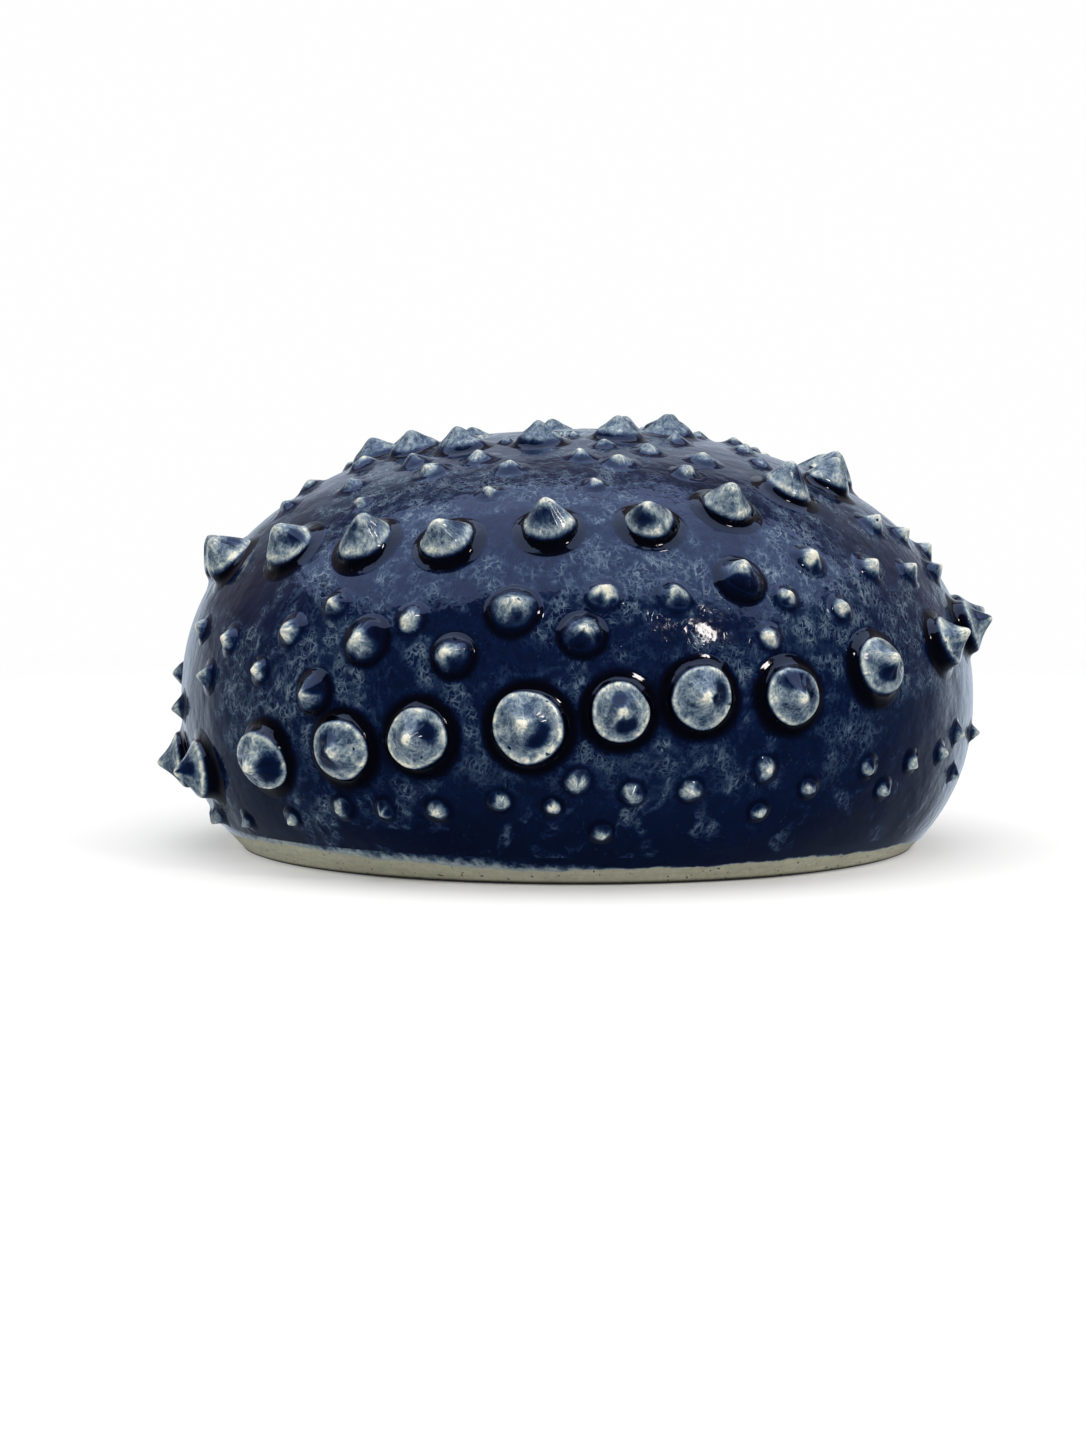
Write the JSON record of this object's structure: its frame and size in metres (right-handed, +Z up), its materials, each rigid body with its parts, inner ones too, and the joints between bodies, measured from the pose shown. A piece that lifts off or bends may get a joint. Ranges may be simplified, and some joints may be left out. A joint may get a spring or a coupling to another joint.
{
  "type": "flower frog",
  "caption": "Hollow ceramic dome in the form of a sea urchin shell, pierced at the crown to hold cut stems upright in water.",
  "frame": {"origin": "centre of the flat underside", "axes": "+Z up through the crown, -Y towards the front that the picture shows, +X to its right"},
  "size_m": [0.1474, 0.1504, 0.0771],
  "materials": {
    "cobalt_glaze": "glossy, mottled where the glaze runs thin",
    "tubercle_glaze": "glossy, thin and pale on the raised clay, cream at the tips",
    "bare_clay": "matt fired clay, sponged smooth"
  },
  "bodies": {
    "root": {"dome_shell": "cobalt_glaze", "base_slab": "bare_clay", "belly_large_tubercles": "tubercle_glaze", "shoulder_large_tubercles": "tubercle_glaze", "crown_large_tubercles": "tubercle_glaze", "belly_medium_tubercles": "tubercle_glaze", "upper_belly_bumps": "tubercle_glaze", "lower_belly_bumps": "tubercle_glaze", "skirt_bumps": "tubercle_glaze", "foot_bumps": "tubercle_glaze", "shoulder_bumps": "tubercle_glaze", "lower_crown_bumps": "tubercle_glaze", "upper_crown_bumps": "tubercle_glaze", "stem_ring_bumps": "tubercle_glaze"}
  },
  "joints": []
}
